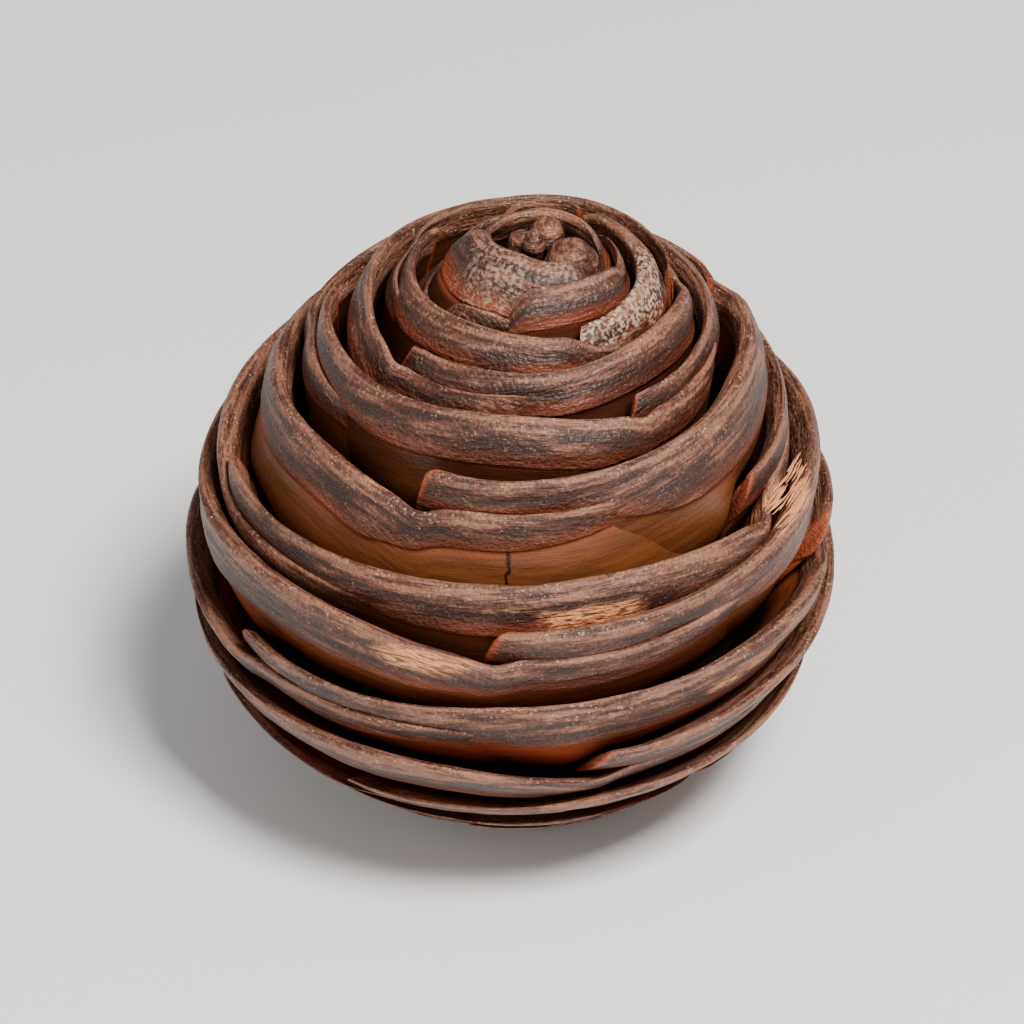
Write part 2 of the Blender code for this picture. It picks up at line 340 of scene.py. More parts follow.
def makePlate(name, azimuth, rim, band, face, sunk, salt, bulge=0.0, back=1.0, slant=0.0):
    # one bract: rim, band (its thickness there) and face (how far the outer face reaches down) per column
    sides = len(rimLoop) + len(faceLoop)
    piece, side, column = tubeCage(name, sides, len(azimuth))
    radius = float(np.mean(onOutline(np.asarray(rim))[0]))
    back = np.broadcast_to(back, np.shape(azimuth))
    azimuth, rim, band, face, sunk, back = (np.asarray(values)[column]
                                            for values in (azimuth, rim, band, face, sunk, back))
    loop = np.array(rimLoop + faceLoop)[side]
    onRim = side < len(rimLoop)
    lip = bractForm["lipDepth"]
    faceDepth = lip + (bractForm["faceDepth"] * back - lip) * np.clip(loop[:, 0], 0.0, 1.0)
    faceDepth = faceDepth + np.maximum(loop[:, 0] - 1.0, 0.0) * bractForm["faceDepth"]
    depth = np.where(onRim, loop[:, 0], faceDepth)
    share = np.where(onRim, loop[:, 1], 1.0)
    run = rim + band * share + np.where(onRim, 0.0, face * loop[:, 1])
    swell = bulge * np.sin(math.pi * np.clip(share, 0.0, 1.0)) * np.where(onRim & (depth < 0.10), 1.0, 0.0)
    leaning = slant * share * (1.0 - ease(azimuth - np.min(azimuth), 0.0, 14.0))
    points = place(azimuth - leaning, run, depth + sunk * (1 - depth) - swell)
    setPoints(piece, points)
    writeValue(piece, "azimuth", azimuth)
    writeValue(piece, "alongMm", np.radians(azimuth) * radius * 1000)
    writeValue(piece, "run", run * 1000)
    # millimetres across the grain, from the rim: inward, down the band, and on down the outer face
    acrossRim = np.where(side < sectionPoints["turn"], -9.0 * depth, share * band * 1000)
    acrossFace = (band + face * loop[:, 1]) * 1000 + depth * 4.0
    writeValue(piece, "across", np.where(onRim, acrossRim, acrossFace))
    writeValue(piece, "depth", depth)
    writeValue(piece, "share", share)
    writeValue(piece, "outer", (side >= sectionPoints["outer"]).astype(float))
    writeValue(piece, "margin", (onRim & (side >= sectionPoints["skin"])) * 1.0)
    applySmooth(piece, bractForm["smooth"])
    facesOutward(piece)
    carvePlate(piece, salt)
    return piece


def makeBract(bract, draws):
    along = np.array(columnsAlong)
    arc, corner = bractForm["arc"], bractForm["cornerArc"]
    covered = turnTo(bract, bract - 1)
    azimuth = cornerAzimuth(bract) + along
    sway = smoothNoise(along * 0.035, bract * 3.7, 0.5, seed) * bractForm["sway"] * ease(along, 3.0, 20.0)
    swell = smoothNoise(along * 0.045, bract * 5.1, 4.5, seed) * bractForm["swell"]
    rim = rimOf(bract, along) + sway * stepOf(bract)
    cornerBand = bractForm["cornerBand"] + (1.0 - bractForm["cornerBand"]) * ease(along, 0.0, 9.0)
    band = bandOf(bract, along) * (1.0 + swell) * cornerBand
    reach = rimBelow(bract, along) - bractForm["gapLine"] - rim - band
    face = np.maximum(reach, 0.0002) * ease(along, 22.0, 44.0)
    face = face * (1.0 if bract == bractForm["fullFace"] else draws.uniform(*bractForm["faceReach"]))
    face = face * (1.0 if bract >= 0 else bractForm["upperReach"])
    # the face stands deeper where another's tail hides it, and at its own end
    tailSink, tailArc = bractForm["tailSink"].get(bract, 1.0), bractForm["tailArc"]
    kind = "upper" if bract < bractForm["lowerFaces"] else "lower"
    kind = "shown" if bract in bractForm["shownFaces"] else kind
    back = bractForm["faceBack"][kind] + 1.0 - ease(along, 42.0, 72.0)
    back = back + 0.6 * tailSink * ease(along, arc - tailArc, arc)
    # a tail lies a little lower than the bract above it, and then sinks away
    sunk = 0.075 * math.sqrt(tailSink) * ease(along, covered - 7, covered + 8) + 0.02 * (1 - ease(along, 0.0, corner))
    sunk = sunk + 0.13 * tailSink * ease(along, arc - tailArc, arc + 4)
    low, high, extra = bractForm["sunkAway"].get(bract, (0.0, 1.0, 0.0))
    sunk = sunk + extra * ease(along, low, low + 20) * (1.0 - ease(along, high - 20, high))
    waver = draws.uniform(-bractForm["waver"], bractForm["waver"])
    sunk = sunk + waver + smoothNoise(along * 0.03, bract * 2.3, 8.5, seed) * 0.02
    return makePlate(f"bract{bract}", azimuth, rim, band, np.maximum(face, 0.00012), sunk, bract, 0.0, back,
                     bractForm["slant"] * draws.uniform(0.5, 1.3))


# What is carved into a bract's skin: scale along and across for millimetres, height in metres, noise layer,
# and the share that the rim alone has
carving = {
    "waves": (0.14, 0.25, 0.00018, 0.5, 0.0),
    "ridges": (0.045, 1.15, 0.00022, 3.5, 1.0),
    "threads": (0.16, 2.6, 0.00009, 5.5, 1.0),
    "tooth": (0.7, 4.2, 0.00004, 7.5, 0.65),
}


def carvePlate(piece, salt):
    arcMm, across = (readValue(piece, name) for name in ("alongMm", "across"))
    margin = ease(readValue(piece, "margin"), 0.3, 0.9)
    salt = 40 + salt
    relief = 0.0
    for alongScale, acrossScale, height, layer, onlyRim in carving.values():
        cut = smoothNoise(arcMm * alongScale, across * acrossScale, layer, salt) * height
        relief = relief + cut * (1.0 - onlyRim + onlyRim * margin)
    points = getPoints(piece) + getNormals(piece) * relief[:, None]
    points[:, 2] = np.maximum(points[:, 2], 0.0003)      # clear of the floor
    setPoints(piece, points)
    writeValue(piece, "margin", margin)
    writeValue(piece, "salt", np.full(len(arcMm), salt * 7.3))


def joinPieces(pieces, name):
    deselectAll()
    for piece in pieces:
        piece.select_set(True)
    bpy.context.view_layer.objects.active = pieces[0]
    bpy.ops.object.join()
    joined = bpy.context.object
    joined.name = name
    joined.data.name = name
    bpy.ops.object.shade_smooth()
    return joined


def nodeWith(tree, kind, **values):
    made = tree.nodes.new(kind)
    for key, value in values.items():
        setattr(made, key, value)
    return made


def link(tree, source, target):
    tree.links.new(source, target)


def mathNode(tree, operation, first, second=None):
    made = nodeWith(tree, "ShaderNodeMath", operation=operation)
    for index, value in enumerate((first, second)):
        if value is None:
            continue
        if isinstance(value, (int, float)):
            made.inputs[index].default_value = value
        else:
            link(tree, value, made.inputs[index])
    return made.outputs[0]


def rangeNode(tree, value, low, high, outLow=0.0, outHigh=1.0):
    made = nodeWith(tree, "ShaderNodeMapRange", interpolation_type="SMOOTHSTEP")
    link(tree, value, made.inputs["Value"])
    made.inputs["From Min"].default_value = low
    made.inputs["From Max"].default_value = high
    made.inputs["To Min"].default_value = outLow
    made.inputs["To Max"].default_value = outHigh
    return made.outputs["Result"]


def mixColour(tree, factor, first, second):
    made = nodeWith(tree, "ShaderNodeMix", data_type="RGBA")
    for socket, value in ((made.inputs[0], factor), (made.inputs[6], first), (made.inputs[7], second)):
        if isinstance(value, (int, float)):
            socket.default_value = value
        elif isinstance(value, tuple):
            socket.default_value = (*value, 1.0)
        else:
            link(tree, value, socket)
    return made.outputs[2]


def readAttribute(tree, name):
    return nodeWith(tree, "ShaderNodeAttribute", attribute_name=name).outputs["Fac"]


# Scales of the wood's patterns: streaks along and across the grain with detail, and spots per metre
woodPatterns = {
    "Streaks": (0.22, 2.2, 3.0),
    "Fine": (0.9, 9.0, 2.0),
    "fleckCells": 3300.0,
    "mottle": 1150.0,
    "grit": 3200.0,
}


def fibreGroup():
    # along and across are in millimetres
    group = bpy.data.node_groups.new("fibreStreaks", "ShaderNodeTree")
    for name in ("Along", "Across", "Salt"):
        group.interface.new_socket(name=name, in_out="INPUT", socket_type="NodeSocketFloat")
    for name in ("Streaks", "Fine", "Flecks", "Mottle", "Grit"):
        group.interface.new_socket(name=name, in_out="OUTPUT", socket_type="NodeSocketFloat")
    start = group.nodes.new("NodeGroupInput")
    end = group.nodes.new("NodeGroupOutput")
    for name in ("Streaks", "Fine"):
        alongScale, acrossScale, detail = woodPatterns[name]
        vector = group.nodes.new("ShaderNodeCombineXYZ")
        link(group, mathNode(group, "MULTIPLY", start.outputs["Along"], alongScale), vector.inputs[0])
        link(group, mathNode(group, "MULTIPLY", start.outputs["Across"], acrossScale), vector.inputs[1])
        link(group, start.outputs["Salt"], vector.inputs[2])
        noise = nodeWith(group, "ShaderNodeTexNoise", noise_dimensions="3D")
        noise.inputs["Scale"].default_value = 1.0
        noise.inputs["Detail"].default_value = detail
        noise.inputs["Roughness"].default_value = 0.6
        link(group, vector.outputs[0], noise.inputs["Vector"])
        link(group, noise.outputs[0], end.inputs[name])
    where = group.nodes.new("ShaderNodeTexCoord").outputs["Object"]
    cells = nodeWith(group, "ShaderNodeTexVoronoi", feature="F1")
    cells.inputs["Scale"].default_value = woodPatterns["fleckCells"]
    link(group, where, cells.inputs["Vector"])
    clumps = nodeWith(group, "ShaderNodeTexNoise")
    clumps.inputs["Scale"].default_value = woodPatterns["mottle"]
    clumps.inputs["Detail"].default_value = 3.0
    link(group, where, clumps.inputs["Vector"])
    gritty = nodeWith(group, "ShaderNodeTexNoise")
    gritty.inputs["Scale"].default_value = woodPatterns["grit"]
    gritty.inputs["Detail"].default_value = 2.0
    link(group, where, gritty.inputs["Vector"])
    link(group, gritty.outputs[0], end.inputs["Grit"])
    near = rangeNode(group, cells.outputs["Distance"], 0.14, 0.40, 1.0, 0.0)
    flecks = mathNode(group, "MULTIPLY", near, rangeNode(group, clumps.outputs[0], 0.46, 0.62))
    link(group, flecks, end.inputs["Flecks"])
    link(group, clumps.outputs[0], end.inputs["Mottle"])
    return group


def placeGroup(tree, group, **inputs):
    made = tree.nodes.new("ShaderNodeGroup")
    made.node_tree = group
    for name, value in inputs.items():
        link(tree, value, made.inputs[name])
    return made


# Colours as linear shares: the rim's skin, painted darker toward the lower edge of its band as shade and paler at its
# top as highlight; the faces in the gaps by height, darkened high up as painted shade; the near black used as painted
# shade deep between the bracts, for cracks and for dark mottling on the faces; and what lies bare or on it
bractColours = {
    "rimPale": (0.235, 0.100, 0.059),
    "rimMid": (0.092, 0.030, 0.0165),
    "rimDark": (0.026, 0.0075, 0.004),
    "fleck": (0.55, 0.37, 0.26),
    "face": (0.150, 0.043, 0.011),
    "faceLow": (0.38, 0.070, 0.026),
    "faceHighShade": (0.062, 0.016, 0.006),
    "lip": (0.30, 0.060, 0.020),
    "deep": (0.011, 0.0035, 0.002),
    "bare": (0.72, 0.30, 0.12),
    "torn": (0.70, 0.31, 0.14),
    "crust": (0.50, 0.37, 0.285),
}
# the two height ranges, in metres, over which the gap faces turn orange-red low down and take painted shade high up
bractSurface = {"roughFace": 0.36, "roughRim": 0.47, "specular": 0.42, "bump": 0.8, "bumpHeight": 0.0002,
                "lowFaces": (0.012, 0.024), "shadedHighFaces": (0.030, 0.037), "crackWander": 3.0}


def bractMaterial(fibres):
    material = bpy.data.materials.new("weatheredBract")
    material.use_nodes = True
    tree = material.node_tree
    shader = tree.nodes["Principled BSDF"]
    streaks = placeGroup(tree, fibres, Along=readAttribute(tree, "alongMm"), Across=readAttribute(tree, "across"),
                         Salt=readAttribute(tree, "salt"))
    coarse, fine, flecks = (streaks.outputs[name] for name in ("Streaks", "Fine", "Flecks"))
    mottle, grit = streaks.outputs["Mottle"], streaks.outputs["Grit"]
    margin, depth, share = (readAttribute(tree, name) for name in ("margin", "depth", "share"))
    tone = mathNode(tree, "ADD", mathNode(tree, "MULTIPLY", coarse, 0.75), mathNode(tree, "MULTIPLY", grit, 0.25))
    # painted shade and highlight: the rim's tone drops toward the lower edge of its band, so the band is darker below
    # and paler along its top edge, as if lit from above
    tone = mathNode(tree, "SUBTRACT", tone, mathNode(tree, "MULTIPLY", rangeNode(tree, share, 0.25, 0.95), 0.17))
    rim = mixColour(tree, rangeNode(tree, tone, 0.32, 0.46), bractColours["rimDark"], bractColours["rimMid"])
    rim = mixColour(tree, rangeNode(tree, tone, 0.43, 0.56), rim, bractColours["rimPale"])
    upper = rangeNode(tree, share, 0.15, 0.75, 0.62, 0.18)
    rim = mixColour(tree, mathNode(tree, "MULTIPLY", flecks, upper), rim, bractColours["fleck"])
    rim = mixColour(tree, rangeNode(tree, fine, 0.34, 0.56, 0.3, 0.0), rim, bractColours["rimDark"])
    # the faces in the gaps by height: orange-red low on the cone, and darkened high on it as painted shade
    height = nodeWith(tree, "ShaderNodeSeparateXYZ")
    link(tree, nodeWith(tree, "ShaderNodeTexCoord").outputs["Object"], height.inputs[0])
    low = rangeNode(tree, height.outputs["Z"], *bractSurface["lowFaces"], 1.0, 0.0)
    high = rangeNode(tree, height.outputs["Z"], *bractSurface["shadedHighFaces"])
    face = mixColour(tree, low, bractColours["face"], bractColours["faceLow"])
    face = mixColour(tree, high, face, bractColours["faceHighShade"])
    face = mixColour(tree, rangeNode(tree, coarse, 0.3, 0.7, 0.0, 0.45), face, bractColours["deep"])
    body = mixColour(tree, rangeNode(tree, margin, 0.35, 0.75), face, rim)
    body = mixColour(tree, mathNode(tree, "MULTIPLY", readAttribute(tree, "lip"), 0.75), body, bractColours["lip"])
    grain = rangeNode(tree, fine, 0.38, 0.58, 0.1, 1.0)
    grains = {"bare": grain, "torn": grain, "crust": rangeNode(tree, grit, 0.40, 0.66)}
    for name in ("bare", "torn", "crust"):
        patch = mathNode(tree, "MULTIPLY", readAttribute(tree, name), margin)
        patch = mathNode(tree, "MULTIPLY", patch, grains[name])
        body = mixColour(tree, patch, body, bractColours[name])
    # painted shade: the bract turns near black as it runs deeper in between the bracts, toward the core
    body = mixColour(tree, rangeNode(tree, depth, 0.24, 0.44), body, bractColours["deep"])
    wander = mathNode(tree, "SUBTRACT", mottle, 0.5)
    wander = mathNode(tree, "MULTIPLY", wander, bractSurface["crackWander"])
    crack = mathNode(tree, "ABSOLUTE", mathNode(tree, "ADD", readAttribute(tree, "crack"), wander))
    crack = rangeNode(tree, crack, 0.15, 0.7, 1.0, 0.0)
    crack = mathNode(tree, "MULTIPLY", crack, mathNode(tree, "SUBTRACT", 1.0, margin))
    body = mixColour(tree, crack, body, bractColours["deep"])
    link(tree, body, shader.inputs["Base Color"])
    rough = rangeNode(tree, margin, 0.2, 0.8, bractSurface["roughFace"], bractSurface["roughRim"])
    link(tree, rough, shader.inputs["Roughness"])
    shader.inputs["Specular IOR Level"].default_value = bractSurface["specular"]
    bump = nodeWith(tree, "ShaderNodeBump")
    bump.inputs["Strength"].default_value = bractSurface["bump"]
    bump.inputs["Distance"].default_value = bractSurface["bumpHeight"]
    relief = mathNode(tree, "ADD", mathNode(tree, "ADD", coarse, grit), mathNode(tree, "MULTIPLY", fine, 0.8))
    link(tree, mathNode(tree, "MULTIPLY", relief, rangeNode(tree, margin, 0.0, 1.0, 0.2, 1.0)), bump.inputs["Height"])
    link(tree, bump.outputs[0], shader.inputs["Normal"])
    return material


# Places where the weathered skin is gone or covered: azimuth and run (mm) of the middle, half widths, strength
barePlaces = [(15.0, 29.4, 10.0, 0.8, 1.0), (-15.0, 33.3, 10.0, 0.9, 0.9), (48.0, 38.2, 12.0, 0.5, 0.7),
              (152.0, 26.0, 9.0, 0.9, 0.8), (-120.0, 34.0, 11.0, 0.8, 0.7), (205.0, 18.0, 10.0, 0.7, 0.6),
              (-6.0, 46.6, 24.0, 0.6, 0.7), (-34.0, 21.3, 5.0, 0.4, 0.6)]
tornPlaces = [(67.0, 28.6, 8.5, 2.0, 1.0)]
crustedBract = -8
crustPlaces = [(66.0, 8.5, 44.0, 2.2, 0.8)]
tipCrusts = [(-42.0, 4.4, 40.0, 2.4, 0.30), (20.0, 4.8, 16.0, 1.6, 0.28)]
# Drying cracks across the outer faces: bract and azimuth
faceCracks = {1: -2.0, 2: 148.0, 4: 196.0, 6: 118.0, 9: -128.0, 12: 60.0}
farFromCrack = 99.0


def patchValue(azimuth, run, places, ragged, salt):
    total = np.zeros(len(azimuth))
    for middle, runMiddle, halfTurn, halfRun, strength in places:
        turn = (azimuth - middle + 180.0) % 360.0 - 180.0
        reach = np.hypot(turn / halfTurn, (run - runMiddle) / halfRun)
        reach = reach + ragged * smoothNoise(azimuth * 0.22, run * 1.6, middle, salt)
        total = np.maximum(total, strength * (1.0 - ease(reach, 0.65, 1.1)))
    return total


def finishPlateValues(piece, corner=None, crusts=(), crackAt=None, lipGain=1.0):
    azimuth, run, depth, share = (readValue(piece, name) for name in ("azimuth", "run", "depth", "share"))
    outer = readValue(piece, "outer")
    under = ease(share, 0.80, 1.0) * outer * (1 - ease(depth, 0.12, 0.15))
    under = under * (0.45 + 0.55 * smoothNoise(azimuth * 0.06, run * 0.2, 1.5, 11))
    lip = np.clip(under * lipGain, 0.0, 1.0)
    if corner is not None:
        lip = np.maximum(lip, 1.0 - ease(azimuth - corner, 0.3, 2.4))
    writeValue(piece, "lip", lip)
    writeValue(piece, "bare", patchValue(azimuth, run, barePlaces, 0.35, 21))
    writeValue(piece, "torn", patchValue(azimuth, run, tornPlaces, 0.45, 22))
    writeValue(piece, "crust", patchValue(azimuth, run, crusts, 0.55, 23))
    fromCrack = np.full(len(azimuth), farFromCrack)
    if crackAt is not None:
        fromCrack = azimuth - crackAt - 360.0 * round((np.mean(azimuth) - crackAt) / 360.0)
    writeValue(piece, "crack", fromCrack)


# The bracts that close round the tip: azimuths of both ends, rims and bands (mm) at both ends and the middle
tipPlates = [
    (-112.0, 62.0, (3.1, 2.2, 3.7), (3.7, 4.2, 2.7), 0.08),
    (88.0, 246.0, (3.7, 3.1, 3.3), (1.5, 2.2, 1.6), 0.02),
]
tipColumns = 19
tipLumps = 0.00045
# and its knobs: azimuth, run (mm), radii across and up (mm), how deep they sit
tipKnobs = [(74.0, 2.4, 2.1, 1.5, 1.0), (-40.0, 0.7, 0.8, 0.9, 0.5), (165.0, 2.1, 1.3, 1.0, 1.0),
            (-125.0, 1.5, 1.1, 0.9, 1.3)]
knobStretch = 1.6


def makeTipPlate(index):
    first, last, rims, bands, bulge = tipPlates[index]
    azimuth = np.linspace(first, last, tipColumns)
    share = np.linspace(0.0, 1.0, tipColumns)
    rim = np.interp(share, (0.0, 0.5, 1.0), rims) / 1000
    band = np.interp(share, (0.0, 0.5, 1.0), bands) / 1000
    ends = np.minimum(ease(share, 0.0, 0.09), 1.0 - ease(share, 0.90, 1.0))
    rim = rim + band * 0.35 * (1 - ends)
    band = band * (0.4 + 0.6 * ends)
    sunk = 0.07 * (1 - ends)
    face = np.full(tipColumns, 0.0006)
    piece = makePlate(f"tipPlate{index}", azimuth, rim, band, face, sunk, 60 + index, bulge)
    arcMm, across, margin = (readValue(piece, name) for name in ("alongMm", "across", "margin"))
    lumps = smoothNoise(arcMm * 0.5, across * 0.55, 2.5, 64 + index) * tipLumps * margin
    setPoints(piece, getPoints(piece) + getNormals(piece) * lumps[:, None])
    return piece


def makeKnob(index):
    azimuth, run, across, up, sunk = tipKnobs[index]
    deselectAll()
    bpy.ops.mesh.primitive_uv_sphere_add(segments=48, ring_count=28, radius=1.0)
    piece = bpy.context.object
    unit = getPoints(piece)
    middle = place(np.array([azimuth]), np.array([run / 1000]), np.array([0.0]))[0]
    rough = 1.0 + 0.10 * smoothNoise(unit[:, 0] * 1.7, unit[:, 1] * 1.7, unit[:, 2] * 1.7, 70 + index)
    rough = rough + 0.035 * smoothNoise(unit[:, 0] * 6, unit[:, 1] * 6, unit[:, 2] * 6, 80 + index)
    tall = up * knobStretch
    size = np.array([across, across, tall]) / 1000
    middle = middle - np.array([0.0, 0.0, (tall - 1.0 + sunk) / 1000])
    setPoints(piece, unit * rough[:, None] * size + middle)
    facesOutward(piece)
    turn = np.degrees(np.arctan2(unit[:, 0], -unit[:, 1]))
    # the knob's lower side gets more depth and share, which the material paints darker: painted shade under the knob
    low = ease(-unit[:, 2], -0.1, 0.35)
    writeValue(piece, "azimuth", turn * 0.3 + azimuth)
    writeValue(piece, "run", np.full(len(turn), run))
    writeValue(piece, "across", unit[:, 2] * up)
    writeValue(piece, "alongMm", np.radians(turn) * across)
    writeValue(piece, "depth", 0.02 + 0.3 * low)
    writeValue(piece, "share", 0.5 + 0.5 * low)
    writeValue(piece, "outer", np.ones(len(turn)))
    writeValue(piece, "margin", 1.0 - low)
    writeValue(piece, "salt", np.full(len(turn), 90.0 + index * 3.1))
    return piece


# The pieces of the head and their bracts, counted along the spiral
headGroups = {"upperBracts": range(-10, -2), "middleBracts": range(-2, 6),
              "lowerBracts": range(6, 15), "baseBracts": range(15, 24)}


def makeHead():
    draws = random.Random(seed)
    made = []
    for name, members in headGroups.items():
        pieces = []
        for bract in members:
            piece = makeBract(bract, draws)
            crusts = crustPlaces if bract == crustedBract else ()
            finishPlateValues(piece, cornerAzimuth(bract), crusts, faceCracks.get(bract))
            pieces.append(piece)
        made.append(joinPieces(pieces, name))
        print(name, len(made[-1].data.polygons), "faces")
    tips = [makeTipPlate(index) for index in range(len(tipPlates))]
    tips = tips + [makeKnob(index) for index in range(len(tipKnobs))]
    for piece in tips:
        finishPlateValues(piece, crusts=tipCrusts, lipGain=1.8)
    made.append(joinPieces(tips, "tipBracts"))
    print("tipBracts", len(made[-1].data.polygons), "faces")
    return made


plainColours = {"darkCore": (0.02, 0.008, 0.004), "footBark": (0.09, 0.04, 0.025), "tornWood": (0.62, 0.27, 0.11)}


def plainMaterial(name):
    material = bpy.data.materials.new(name)
    material.use_nodes = True
    material.node_tree.nodes["Principled BSDF"].inputs["Base Color"].default_value = (*plainColours[name], 1)
    return material


def makeCore():
    deselectAll()
    bpy.ops.mesh.primitive_uv_sphere_add(segments=64, ring_count=40, radius=1.0)
    piece = bpy.context.object
    piece.name = "coneCore"
    unit = getPoints(piece)
    azimuth = np.degrees(np.arctan2(unit[:, 0], -unit[:, 1]))
    run = fullRun * np.degrees(np.arccos(np.clip(unit[:, 2], -1, 1))) / 180
    points = place(azimuth, run, cone["coreDepth"])
    points[:, 2] = np.maximum(points[:, 2], cone["coreFloor"])
    setPoints(piece, points)
    facesOutward(piece)
    bpy.ops.object.shade_smooth()
    piece.data.materials.append(plainMaterial("darkCore"))
    return piece


# The cut end of the stem and the ring of wood round it, metres
stem = {"radius": 0.0065, "depth": 0.006, "pith": 0.0034, "gap": 0.0003, "footRadius": 0.0084, "footHeight": 0.0085,
        "edge": 0.0003, "rings": 26, "ringStep": 0.000225, "smoothAngle": 40.0}


def selectLowFace(piece):
    bpy.ops.object.mode_set(mode="EDIT")
    bpy.ops.mesh.select_mode(type="FACE")
    bpy.ops.mesh.select_all(action="DESELECT")
    mesh = bmesh.from_edit_mesh(piece.data)
    low = min(mesh.faces, key=lambda face: face.calc_center_median().z)
    low.select_set(True)
    mesh.faces.active = low
    bmesh.update_edit_mesh(piece.data)


def roundEdges(piece):
    edge = piece.modifiers.new("edge", "BEVEL")
    edge.width = stem["edge"]
    edge.segments = 3
    edge.limit_method = "ANGLE"
    makeActive(piece)
    bpy.ops.object.modifier_apply(modifier=edge.name)


def makeFoot():
    # the ring of base wood round the cut stem
    deselectAll()
    height = stem["footHeight"]
    bpy.ops.mesh.primitive_cylinder_add(vertices=96, radius=stem["footRadius"], depth=height,
                                        location=(0, 0, height / 2))
    piece = bpy.context.object
    piece.name = "footWood"
    bpy.ops.object.transform_apply(location=True)
    selectLowFace(piece)
    bpy.ops.mesh.inset(thickness=stem["footRadius"] - stem["radius"] - stem["gap"])
    bpy.ops.mesh.extrude_region_move(TRANSFORM_OT_translate={"value": (0, 0, stem["depth"] + stem["gap"])})
    bpy.ops.object.mode_set(mode="OBJECT")
    roundEdges(piece)
    facesOutward(piece)
    bpy.ops.object.shade_smooth_by_angle(angle=math.radians(stem["smoothAngle"]))
    piece.data.materials.append(plainMaterial("footBark"))
    return piece


def makeStem():
    deselectAll()
    bpy.ops.mesh.primitive_cylinder_add(vertices=120, radius=stem["radius"], depth=stem["depth"],
                                        location=(0, 0, stem["depth"] / 2))
    piece = bpy.context.object
    piece.name = "cutStem"
    bpy.ops.object.transform_apply(location=True)
    roundEdges(piece)
    selectLowFace(piece)
    for ring in range(stem["rings"]):
        bpy.ops.mesh.inset(thickness=stem["ringStep"])
    bpy.ops.object.mode_set(mode="OBJECT")
    # pits in the pith, a crack round it and the grain of the wood, on the cut face alone
    points = getPoints(piece)
    radius = np.hypot(points[:, 0], points[:, 1])
    x, y = points[:, 0] * 1000, points[:, 1] * 1000
    cut = np.where(points[:, 2] < 0.00001, 1.0, 0.0) * (1 - ease(radius, 0.0059, 0.0062))
    pith = 1 - ease(radius + smoothNoise(x * 0.8, y * 0.8, 0.5, 31) * 0.0003, stem["pith"] - 0.0003, stem["pith"])
    crack = np.exp(-((radius - stem["pith"] - 0.0001) / 0.00022) ** 2)
    pits = (0.5 + 0.5 * smoothNoise(x * 2.4, y * 2.4, 2.5, 32)) * 0.00028 * pith
    grain = (0.5 + 0.5 * smoothNoise(x * 4.0, y * 4.0, 6.5, 33)) * 0.00008
    points[:, 2] += cut * (pits + grain + crack * 0.0006)
    setPoints(piece, points)
    facesOutward(piece)
    bpy.ops.object.shade_smooth_by_angle(angle=math.radians(stem["smoothAngle"]))
    piece.data.materials.append(stemMaterial())
    return piece


# The cut wood's colours, and its bark at the edge
stemColours = {"pith": (0.42, 0.20, 0.06), "pithDark": (0.20, 0.075, 0.022), "wood": (0.50, 0.27, 0.13),
               "woodDark": (0.24, 0.10, 0.04), "crack": (0.03, 0.01, 0.005), "bark": (0.10, 0.045, 0.028)}


def stemMaterial():
    material = bpy.data.materials.new("cutWood")
    material.use_nodes = True
    tree = material.node_tree
    shader = tree.nodes["Principled BSDF"]
    where = nodeWith(tree, "ShaderNodeTexCoord").outputs["Object"]
    flat = nodeWith(tree, "ShaderNodeVectorMath", operation="MULTIPLY")
    link(tree, where, flat.inputs[0])
    flat.inputs[1].default_value = (1.0, 1.0, 0.0)
    length = nodeWith(tree, "ShaderNodeVectorMath", operation="LENGTH")
    link(tree, flat.outputs[0], length.inputs[0])
    grains = nodeWith(tree, "ShaderNodeTexNoise")
    grains.inputs["Scale"].default_value = 1600.0
    grains.inputs["Detail"].default_value = 3.0
    link(tree, where, grains.inputs["Vector"])
    wobble = mathNode(tree, "MULTIPLY", mathNode(tree, "SUBTRACT", grains.outputs[0], 0.5), 0.0006)
    radius = mathNode(tree, "ADD", length.outputs["Value"], wobble)
    pithShade = rangeNode(tree, grains.outputs[0], 0.38, 0.62)
    woodShade = rangeNode(tree, grains.outputs[0], 0.36, 0.6)
    pith = mixColour(tree, pithShade, stemColours["pithDark"], stemColours["pith"])
    wood = mixColour(tree, woodShade, stemColours["woodDark"], stemColours["wood"])
    body = mixColour(tree, rangeNode(tree, radius, stem["pith"] - 0.0002, stem["pith"] + 0.0002), pith, wood)
    ring = mathNode(tree, "ABSOLUTE", mathNode(tree, "SUBTRACT", radius, stem["pith"] + 0.0001))
    body = mixColour(tree, rangeNode(tree, ring, 0.0001, 0.0003, 1.0, 0.0), body, stemColours["crack"])
    body = mixColour(tree, rangeNode(tree, radius, 0.0058, 0.0063), body, stemColours["bark"])
    link(tree, body, shader.inputs["Base Color"])
    shader.inputs["Roughness"].default_value = 0.75
    bump = nodeWith(tree, "ShaderNodeBump")
    bump.inputs["Strength"].default_value = 0.6
    bump.inputs["Distance"].default_value = 0.0002
    link(tree, grains.outputs[0], bump.inputs["Height"])
    link(tree, bump.outputs[0], shader.inputs["Normal"])
    return material


tornFibre = {"count": 90, "radius": 0.00006, "shortest": 0.0007, "longest": 0.0022, "lift": 0.0003,
             "perDepth": 0.0096}     # metres that the whole depth measures there


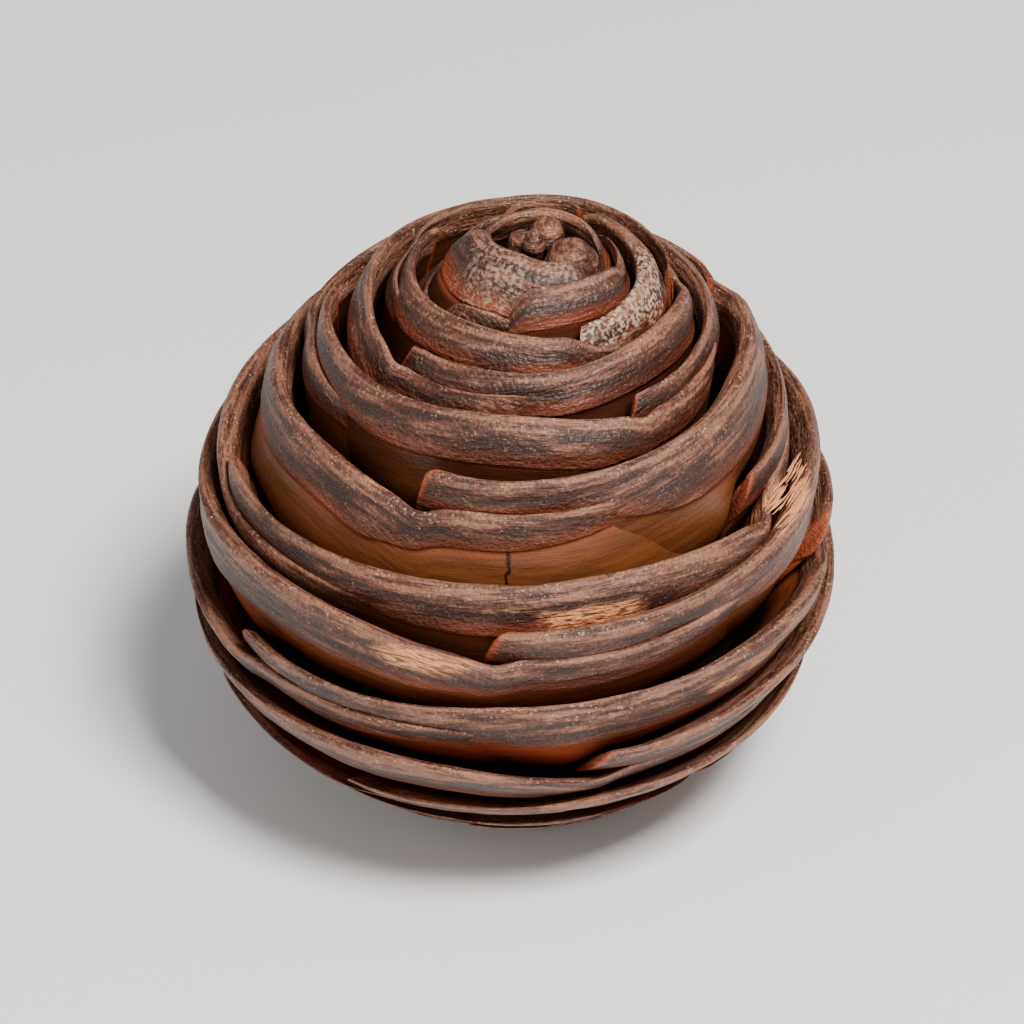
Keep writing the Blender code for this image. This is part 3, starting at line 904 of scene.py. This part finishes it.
def makeTornFibres():
    # splinters left on the torn patch, each a thin bent spindle along the grain
    draws = random.Random(seed + 7)
    middle, runMiddle, halfTurn, halfRun = tornPlaces[0][:4]
    made = []
    for index in range(tornFibre["count"]):
        piece = cutRod(f"fibre{index}", 6, 5)
        unit = getPoints(piece)
        share = unit[:, 2] + 0.5
        azimuth = middle + halfTurn * draws.uniform(-0.9, 0.9)
        run = (runMiddle + halfRun * draws.uniform(-0.8, 0.8)) / 1000
        length = draws.uniform(tornFibre["shortest"], tornFibre["longest"])
        radius = float(onOutline(np.array([run]))[0][0])
        thick = tornFibre["radius"] * (0.25 + 0.75 * np.sin(math.pi * np.clip(share, 0.02, 0.98)))
        turn = np.degrees(length * (share - 0.5) / radius)
        slope = draws.uniform(-0.12, 0.12)
        lift = tornFibre["lift"] * (draws.uniform(0.0, 1.0) * share ** 2 + 0.25)
        depth = (-lift - unit[:, 0] * thick) / tornFibre["perDepth"]
        points = place(azimuth + turn, run + slope * length * (share - 0.5) + unit[:, 1] * thick, depth)
        setPoints(piece, points)
        facesOutward(piece)
        made.append(piece)
    joined = joinPieces(made, "tornFibres")
    joined.data.materials.clear()
    joined.data.materials.append(plainMaterial("tornWood"))
    return joined


floorLook = {"size": 6.0, "grey": 0.80, "roughness": 0.8}


def makeFloor():
    deselectAll()
    bpy.ops.mesh.primitive_plane_add(size=floorLook["size"], location=(0, 0, 0))
    floor = bpy.context.object
    floor.name = "floor"
    material = bpy.data.materials.new("paleFloor")
    material.use_nodes = True
    shader = material.node_tree.nodes["Principled BSDF"]
    shader.inputs["Base Color"].default_value = (*[floorLook["grey"]] * 3, 1)
    shader.inputs["Roughness"].default_value = floorLook["roughness"]
    floor.data.materials.append(material)


# The lamps: size in metres, power in watts, place and colour
lamps = {
    "keyLamp": (0.14, 5.2, (0.14, -0.20, 0.46), (1.0, 0.97, 0.93)),
    "fillLamp": (0.4, 0.75, (-0.45, -0.30, 0.30), (1.0, 1.0, 1.0)),
    "lowLamp": (0.3, 0.55, (0.10, -0.50, 0.10), (1.0, 0.97, 0.93)),
}
lightAll = {"strength": 0.34, "lampTarget": (0.0, 0.0, 0.02)}


def addLamp(name):
    size, power, location, colour = lamps[name]
    lamp = bpy.data.lights.new(name, "AREA")
    lamp.size = size
    lamp.energy = power
    lamp.color = colour
    holder = bpy.data.objects.new(name, lamp)
    bpy.context.scene.collection.objects.link(holder)
    holder.location = location
    holder.rotation_euler = (Vector(lightAll["lampTarget"]) - Vector(location)).to_track_quat("-Z", "Y").to_euler()


cameraView = {"elevation": 37.0, "distance": 0.40, "lens": 190.0, "lookAt": (0.0, 0.0, 0.0215)}


def makeCamera():
    camera = bpy.data.cameras.new("camera")
    camera.lens = cameraView["lens"]
    camera.clip_start = 0.01
    holder = bpy.data.objects.new("camera", camera)
    bpy.context.scene.collection.objects.link(holder)
    tilt = math.radians(cameraView["elevation"])
    back = Vector((0.0, -math.cos(tilt), math.sin(tilt)))
    holder.location = Vector(cameraView["lookAt"]) + back * cameraView["distance"]
    holder.rotation_euler = (-back).to_track_quat("-Z", "Y").to_euler()
    bpy.context.scene.camera = holder


def makeLight():
    world = bpy.data.worlds.new("studio")
    bpy.context.scene.world = world
    world.use_nodes = True
    sky = world.node_tree.nodes["Background"]
    sky.inputs["Color"].default_value = (1.0, 1.0, 1.0, 1)
    sky.inputs["Strength"].default_value = lightAll["strength"]
    for name in lamps:
        addLamp(name)


weathered = bractMaterial(fibreGroup())
for piece in makeHead():
    piece.data.materials.clear()
    piece.data.materials.append(weathered)
    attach(piece, "root")
    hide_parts("bracts")
for piece in (makeFoot(), makeCore(), makeTornFibres()):
    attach(piece, "root")
cutStem = makeStem()
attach(cutStem, "root")
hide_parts("cut_stem")
print("head, core, foot, torn fibres and stem made")

makeFloor()
makeLight()
makeCamera()
print("stage and camera made")
